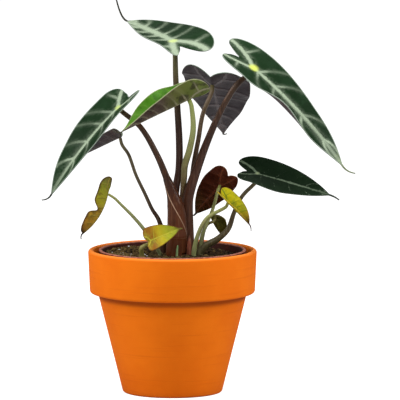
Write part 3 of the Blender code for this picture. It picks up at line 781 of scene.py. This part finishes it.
grow_stalk(
    young,
    ((8.5, 13), (8.5, 12.4, 150), (8.8, 9.8, 170), (9.4, 7.3, 180), (10.3, 4.2, 190),
     (11, 2, 201.7), (15, -4, 216), (18.4, -12, 236)),
    (2.5, 2.5, 2.5, 2.5, 2.5, 2.8, 3.0, 2.9, 2.5, 2.0, 1.9),
    ((0.0, (0.060, 0.022, 0.012)), (0.4, (0.13, 0.065, 0.030)), (0.6, (0.24, 0.21, 0.08)),
     (0.8, (0.34, 0.38, 0.13)), (1.0, (0.26, 0.33, 0.07))),
    (0.40, 0.38, 0.18), seed=4,
)

# ---------------------------------------------------------------- Left rear leaf
# A narrow folded blade turned away, seen on its dull purple underside. It hangs from a thin
# stalk that leaves the crown behind the trunk.

PURPLE_GREY = (0.050, 0.040, 0.046)
left_rear = Leaf("left_rear", (-46.5, 10, 226.1), (-86, 50, 203), (-5, 5, -3), (11, 5), (5, 4),
                 ((50, 50, 45), (80, 75, 60)))
grow_blade(left_rear, [
    leaf_skin("left rear leaf face", ((0, MID_GREEN), (1, DARK_GREEN)), PALE_VEIN, 1.8, 1.1,
              mottle=(0.5, (0.05, 0.12, 0.05)), rim=(0.7, (0.45, 0.55, 0.42))),
    leaf_skin("left rear leaf underside",
              ((0, (0.10, 0.07, 0.06)), (0.4, PURPLE_GREY), (1, (0.06, 0.058, 0.055))),
              (0.14, 0.125, 0.12), 1.6, 1.3, mottle=(0.5, (0.028, 0.024, 0.028)),
              rim=(0.5, (0.16, 0.14, 0.13)), relief=0.0012),
], laterals=(0.1, 0.3, 0.5, 0.7), fineness=0.6)
grow_stalk(
    left_rear,
    ((-8, 2), (-9, 2, 142), (-12.3, 2, 153.8), (-18.1, 2, 163.1), (-24.3, 3, 176.4),
     (-32.3, 5, 193), (-38.9, 8, 211)),
    (2.6, 2.6, 2.4, 2.0, 1.7, 1.6, 1.5, 1.5, 1.5, 1.4),
    ((0.0, (0.050, 0.020, 0.012)), (0.4, (0.055, 0.028, 0.016)), (0.8, (0.12, 0.10, 0.05)),
     (1.0, (0.16, 0.14, 0.07))),
    (0.17, 0.13, 0.08), seed=5,
)

# ---------------------------------------------------------------- Rear leaf
# A large blade bowed down at the back, its purple-grey underside towards the front with
# raised, wavy ribs. Its stalk stands behind the others.

rear = Leaf("rear", (35.4, 28, 270.9), (45.6, 108, 218.4), (3, 3, 0), (29, 34), (28, 26),
            ((20, 12, 14), (-2, 2, 10)), sinus=0.6, bow=2, lift=3, wave=2, taper=1.1)
grow_blade(rear, [
    leaf_skin("rear leaf face", ((0, MID_GREEN), (1, DARK_GREEN)), PALE_VEIN, 3.0, 1.9,
              mottle=(0.6, (0.04, 0.11, 0.045)), rim=(1.1, (0.50, 0.62, 0.50)),
              heart=(4.0, (0.42, 0.50, 0.10))),
    leaf_skin("rear leaf underside", ((0, (0.060, 0.048, 0.054)), (0.4, PURPLE_GREY),
                                      (1, (0.052, 0.044, 0.050))), (0.19, 0.165, 0.17), 2.2, 2.4,
              mottle=(0.6, (0.030, 0.024, 0.028)), rim=(0.7, (0.12, 0.11, 0.10)),
              heart=(2.5, (0.20, 0.20, 0.07)), relief=0.0018, cloud=0.45),
])
grow_stalk(
    rear,
    ((16.5, 14), (15.6, 14, 150), (15.6, 12.5, 170), (18.7, 10, 200.6), (23, 12, 223.8),
     (27.1, 18, 246.3)),
    (2.3, 2.3, 2.3, 2.3, 2.2, 2.1, 2.0, 1.9, 1.8),
    ((0.0, (0.060, 0.022, 0.013)), (0.5, (0.075, 0.038, 0.022)), (0.85, (0.16, 0.11, 0.06)),
     (1.0, (0.20, 0.18, 0.07))),
    (0.20, 0.12, 0.08), seed=6,
)

# ---------------------------------------------------------------- Right leaf
# The largest blade, hanging to the right and twisting to its drip tail; the near margin is
# rolled right over, so a strip of the purple underside shows. It has the stoutest stalk.

right = Leaf("right", (71.6, -5, 289.2), (150, -38, 206), (11, -4, -6), (25, 24), (37, 27),
             ((-8, -14, 0), (22, -22, 14)), roll=33, bow=6.5, lift=-1, splay=1, curl=6,
             rolled=(0, 150))
grow_blade(right, [
    leaf_skin("right leaf face", ((0, MID_GREEN), (0.45, DARK_GREEN), (0.85, DARK_GREEN),
                                  (1, (0.30, 0.38, 0.14))), PALE_VEIN, 2.9, 2.2,
              mottle=(0.5, (0.010, 0.033, 0.011)), rim=(1.1, (0.32, 0.38, 0.31)),
              heart=(6.5, (0.58, 0.66, 0.12)), cloud=0.28, tail=(0.16, 0.19, 0.11)),
    leaf_skin("right leaf underside", ((0, (0.060, 0.040, 0.045)), (1, (0.065, 0.045, 0.048))),
              (0.16, 0.12, 0.11), 2.0, 1.1, mottle=(0.5, (0.035, 0.022, 0.026)),
              rim=(1.0, (0.34, 0.38, 0.32)), relief=0.0006, tail=(0.12, 0.12, 0.07)),
], laterals=(0.05, 0.22, 0.52, 0.76))
grow_stalk(
    right,
    ((14.7, 4), (13.7, 3.6, 150), (13.5, 3, 170), (15.6, 2.2, 180), (22.7, 1, 201.6),
     (32.1, -1, 226.8), (42.9, -2, 251), (56, -3, 273)),
    (5.0, 5.0, 5.0, 5.0, 4.7, 3.9, 3.2, 2.8, 2.6, 2.3, 2.2),
    ((0.0, (0.100, 0.032, 0.013)), (0.35, (0.075, 0.026, 0.013)), (0.6, (0.045, 0.018, 0.011)),
     (0.85, (0.070, 0.040, 0.022)), (1.0, (0.30, 0.24, 0.13))),
    (0.17, 0.08, 0.045), sides=32, seed=7,
)

# ---------------------------------------------------------------- Lower right leaf
# A broad blade low on the right, nearly black-green, with only its midrib pale. Its stalk
# leaves the crown low and leans out over the pot's rim.

lower_right = Leaf("lower_right", (75.2, -10, 195.8), (139, -40, 180.5), (8, -3, -4),
                   (20.5, 20.5), (23, 14), ((0, 0, 0), (23, 9, 4)), roll=36, bow=0.5, curl=2)
grow_blade(lower_right, [
    leaf_skin("lower right leaf face", ((0, (0.004, 0.012, 0.004)), (1, (0.006, 0.016, 0.006))),
              (0.15, 0.20, 0.13), 1.6, 0.5, mottle=(0.5, (0.009, 0.021, 0.008)),
              rim=(0.5, (0.05, 0.075, 0.045)), heart=(3.0, (0.26, 0.32, 0.18)), roughness=0.38,
              cloud=0.0, tail=(0.02, 0.03, 0.018)),
    leaf_skin("lower right leaf underside", ((0, (0.05, 0.035, 0.04)), (1, (0.06, 0.045, 0.05))),
              (0.14, 0.12, 0.10), 1.9, 1.0, mottle=(0.5, (0.03, 0.022, 0.026)), relief=0.0006),
])
grow_stalk(
    lower_right,
    ((24, -5.5), (30, -5, 131.5), (40, -4, 137), (49.5, -2.5, 146), (54.5, -3, 160),
     (61.5, -6, 175)),
    (3.3, 3.3, 3.2, 2.9, 2.4, 2.0, 1.8, 1.7, 1.6),
    ((0.0, (0.11, 0.10, 0.04)), (0.3, (0.075, 0.060, 0.025)), (0.6, (0.075, 0.050, 0.022)),
     (0.85, (0.14, 0.11, 0.05)), (1.0, (0.18, 0.19, 0.07))),
    (0.20, 0.18, 0.08), seed=8,
)

# ---------------------------------------------------------------- Red leaf
# A small blade curling away behind the stalks, its red-brown underside netted with fine
# veins and olive towards the tip. It hangs from a thin pale stalk.

PALE_STALK = ((0.0, (0.22, 0.25, 0.10)), (0.5, (0.26, 0.28, 0.10)), (1.0, (0.36, 0.38, 0.10)))
red = Leaf("red", (42.2, 16, 182.5), (20.5, 42, 154), (-2, 3, -2), (16, 13), (20, 18),
           ((8, 8, 8), (10, 10, 10)), roll=45, sinus=0.75, wave=1)
RED_BANDS = ((0, (0.075, 0.014, 0.006)), (0.5, (0.060, 0.012, 0.005)),
             (0.7, (0.075, 0.035, 0.010)), (1, (0.060, 0.045, 0.012)))
grow_blade(red, [
    leaf_skin("red leaf face", RED_BANDS, (0.30, 0.14, 0.06), 1.4, 0.7,
              mottle=(0.6, (0.08, 0.05, 0.02)), rim=(0.6, (0.28, 0.16, 0.07))),
    leaf_skin("red leaf underside", RED_BANDS, (0.19, 0.050, 0.020), 1.3, 0.8,
              mottle=(0.6, (0.030, 0.006, 0.003)), rim=(0.6, (0.20, 0.08, 0.03)), relief=0.0009,
              cream=0.3),
], laterals=(0.08, 0.24, 0.4, 0.56, 0.72), fineness=0.7)
grow_stalk(
    red,
    ((24.2, 4), (26.2, 6, 138.5), (30.7, 9, 149.7), (35.7, 12, 161.3)),
    (1.7, 1.7, 1.6, 1.5, 1.5, 1.4, 1.3),
    PALE_STALK,
    (0.44, 0.40, 0.20), seed=9,
)

# ---------------------------------------------------------------- Yellow leaf
# A small old blade gone yellow, folded along its midrib, with green still in streaks beside
# the veins and a dried brown tip. Its stalk is pale.


def alike_skins(name, bands, vein, rib, lateral, reliefs=(0.0003, 0.0003), **looks):
    """The face and the underside of an old blade that is the same colours on both."""
    return [
        leaf_skin(f"{name} leaf {side}", bands, vein, rib, lateral, relief=relief, **looks)
        for side, relief in zip(("face", "underside"), reliefs)
    ]


yellow = Leaf("yellow", (49.2, -18, 170.9), (67.5, -26, 153), (2, 0, -6.5), (11, 11), (13, 13),
              ((50, 55, 60), (50, 55, 60)), roll=30, curl=10, taper=0.7)
grow_blade(yellow, alike_skins(
    "yellow",
    ((0, (0.66, 0.58, 0.010)), (0.5, (0.60, 0.52, 0.012)), (0.7, (0.42, 0.30, 0.02)),
     (0.82, (0.17, 0.070, 0.015)), (1, (0.055, 0.020, 0.008))),
    (0.20, 0.26, 0.02), 0.9, 0.8, (0.0003, 0.0005), mottle=(0.6, (0.26, 0.31, 0.02)),
    rim=(0.5, (0.40, 0.25, 0.03)), cloud=0.35, tail=(0.05, 0.018, 0.007),
), laterals=(0.1, 0.3, 0.5), fineness=0.6)
grow_stalk(
    yellow,
    ((18.9, -14), (20.7, -14, 135.3), (25.3, -15, 148.6), (31.9, -16, 158.2)),
    (2.2, 2.2, 2.0, 1.8, 1.7, 1.5, 1.4),
    PALE_STALK,
    (0.44, 0.40, 0.20), seed=10,
)

# ---------------------------------------------------------------- Small rear leaf
# A scrap of an old olive blade hanging behind the yellow one, on a short thin stalk.

small_rear = Leaf("small_rear", (38.7, 20, 154.5), (43.1, 31, 137), (0, 1, -2), (6, 12), (3, 3),
                  ((10, 10, 10), (-25, -20, -10)))
grow_blade(small_rear, alike_skins(
    "small rear",
    ((0, (0.12, 0.12, 0.014)), (0.6, (0.15, 0.12, 0.012)), (1, (0.08, 0.05, 0.01))),
    (0.22, 0.21, 0.05), 1.2, 0.7, mottle=(0.5, (0.10, 0.11, 0.02)),
    rim=(0.5, (0.22, 0.15, 0.05)),
), laterals=(0.15, 0.4), fineness=0.6)
grow_stalk(
    small_rear,
    ((25.4, 9), (28, 12, 141), (31.5, 15, 148)),
    (1.4, 1.4, 1.3, 1.3, 1.2, 1.2),
    ((0, (0.16, 0.13, 0.04)), (1, (0.20, 0.18, 0.05))),
    (0.28, 0.24, 0.10), seed=11,
)

# ---------------------------------------------------------------- Withered leaf
# A dying blade folded shut and shrivelled: green and yellow at the top, golden brown and
# papery below the pinch, black at the tip. Its stalk has paled and thinned.

withered = Leaf("withered", (-57, -14, 178.4), (-79, -22, 144), (-1.5, -1, -5), (11, 8.5),
                (14, 14), ((68, 75, 70), (92, 90, 80)), roll=15, bow=-4, lift=-6, taper=0.5,
                pinch=0.6)
grow_blade(withered, alike_skins(
    "withered",
    ((0, (0.10, 0.08, 0.03)), (0.14, (0.20, 0.22, 0.02)), (0.38, (0.34, 0.32, 0.015)),
     (0.5, (0.24, 0.14, 0.015)), (0.6, (0.36, 0.21, 0.015)), (0.78, (0.30, 0.14, 0.012)),
     (0.9, (0.09, 0.035, 0.010)), (1, (0.008, 0.005, 0.004))),
    (0.30, 0.24, 0.04), 1.0, 0.7, (0.0009, 0.0009), mottle=(0.75, (0.10, 0.065, 0.012)),
    rim=(2.0, (0.075, 0.030, 0.010)), roughness=0.6, tail=(0.010, 0.006, 0.005),
), laterals=(0.1, 0.3, 0.5, 0.7), fineness=0.6)
grow_stalk(
    withered,
    ((-11, -10), (-23.2, -11, 144), (-34.4, -12, 157.7), (-45.5, -13, 169)),
    (1.8, 1.8, 1.7, 1.5, 1.3, 1.2, 1.1),
    ((0, (0.27, 0.29, 0.13)), (0.6, (0.28, 0.30, 0.11)), (1, (0.32, 0.32, 0.07))),
    (0.40, 0.42, 0.24), seed=12,
)

# ---------------------------------------------------------------- Front leaf
# A small old blade lying across the pot's front, orange-red at its lobes, yellow along the
# veins and green towards the tip, with a brown margin. Its stub of a stalk is olive.

front = Leaf("front", (-19, -30, 138.8), (7, -34, 150), (2, 0, 0), (12.5, 10), (5, 4),
             ((6, 8, 10), (10, 14, 10)), roll=70)
grow_blade(front, alike_skins(
    "front",
    ((0, (0.22, 0.075, 0.010)), (0.22, (0.30, 0.12, 0.010)), (0.42, (0.46, 0.36, 0.012)),
     (0.6, (0.32, 0.34, 0.014)), (0.85, (0.17, 0.24, 0.015)), (1, (0.16, 0.12, 0.02))),
    (0.48, 0.45, 0.04), 0.9, 0.5, (0.0005, 0.0005), mottle=(0.75, (0.15, 0.13, 0.010)),
    rim=(0.9, (0.15, 0.05, 0.01)), tail=(0.12, 0.10, 0.02),
), laterals=(0.12, 0.32, 0.52, 0.7), fineness=0.5)
grow_stalk(
    front,
    ((-27, -23.5), (-27, -26.5, 132)),
    (2.2, 2.2, 2.0, 1.6, 1.4),
    ((0, (0.20, 0.18, 0.05)), (1, (0.28, 0.26, 0.07))),
    (0.34, 0.30, 0.12), seed=13,
)

# ---------------------------------------------------------------- Bud sheath and sprout
# A pointed reddish scale that covers the next bud at the foot of the stalks, and a thin
# green shoot that has just come up in front of them.

grow_rod("bud_scale", "bud_sheath", [Vector(p) for p in (
    (14.6, -7.6, MIX_LEVEL - 0.2), (14.6, -7.6, 129), (14.8, -7.2, 135), (15.0, -6.4, 140.5))],
    (2.3, 2.4, 1.8, 0.5),
    stalk_skin("bud skin", ((0, (0.20, 0.06, 0.035)), (0.6, (0.26, 0.07, 0.04)),
                            (1, (0.12, 0.04, 0.02))), (0.40, 0.18, 0.10)), seed=14)
grow_rod("green_shoot", "sprout", [Vector(p) for p in (
    (4.0, -21, MIX_LEVEL - 0.2), (4.0, -21, 125), (4.2, -21, 129), (4.8, -21, 133.5))],
    (1.1, 1.1, 1.0, 0.5),
    stalk_skin("sprout skin", ((0, (0.30, 0.36, 0.16)), (1, (0.18, 0.34, 0.14))),
               (0.40, 0.46, 0.24)), sides=12, seed=15)

# ---------------------------------------------------------------- Studio
# A plain white table under a soft white sky, with broad lamps at both sides, in front and
# above, and a camera with a long lens, a little above the pot's rim.

floor_skin, tree, shader, place = new_skin("white table", 0.9)
speck = grain(tree, place, 40, 2)
colour = paint(tree, ease(tree, speck, 0.3, 0.7), (0.50, 0.50, 0.50), (0.52, 0.52, 0.52))
finish_skin(tree, shader, colour, ease(tree, speck, 0.3, 0.7, 0.85, 0.95), speck, 0.00005)
shader.inputs["Emission Color"].default_value = (1, 1, 1, 1)
seen = add_node(tree, "ShaderNodeLightPath", {}).outputs["Is Camera Ray"]
tree.links.new(maths(tree, "MULTIPLY", seen, 0.86), shader.inputs["Emission Strength"])
shape = bmesh.new()
bmesh.ops.create_grid(shape, x_segments=1, y_segments=1, size=8.0)
mesh = bpy.data.meshes.new("table")
shape.to_mesh(mesh)
shape.free()
mesh.materials.append(floor_skin)
floor = bpy.data.objects.new("table", mesh)
bpy.context.scene.collection.objects.link(floor)

world = bpy.data.worlds.new("soft sky")
world.use_nodes = True
sky = world.node_tree.nodes["Background"]
sky.inputs["Color"].default_value = (1, 1, 1, 1)
sky.inputs["Strength"].default_value = 0.32
bpy.context.scene.world = world
PLANT_MIDDLE = Vector((0, 0, 0.17))
for name, location, power, width in (
    ("left lamp", (-1.6, -0.45, 1.2), 23.0, 0.9), ("right lamp", (1.6, -0.35, 1.2), 22.0, 0.9),
    ("front lamp", (-0.1, -1.9, 1.9), 19.0, 1.0), ("top lamp", (0.0, -0.2, 2.0), 16.0, 0.8),
):
    light = bpy.data.lights.new(name, "AREA")
    light.energy = power
    light.size = width
    lamp = bpy.data.objects.new(name, light)
    lamp.location = location
    towards = PLANT_MIDDLE - lamp.location
    lamp.rotation_euler = towards.to_track_quat("-Z", "Y").to_euler()
    bpy.context.scene.collection.objects.link(lamp)

VIEW_HEIGHT = math.radians(6.8)
VIEW_DISTANCE = 6.0
AIM = Vector((0.001564, -0.0182, 0.171386))
lens = bpy.data.cameras.new("camera")
lens.sensor_width = 36.0
lens.lens = 609.0
lens.clip_end = 40.0
camera = bpy.data.objects.new("camera", lens)
away = Vector((0, -math.cos(VIEW_HEIGHT), math.sin(VIEW_HEIGHT)))
camera.location = AIM + VIEW_DISTANCE * away
camera.rotation_euler = (math.pi / 2 - VIEW_HEIGHT, 0, 0)
bpy.context.scene.collection.objects.link(camera)
bpy.context.scene.camera = camera
bpy.context.scene.view_settings.view_transform = "Standard"
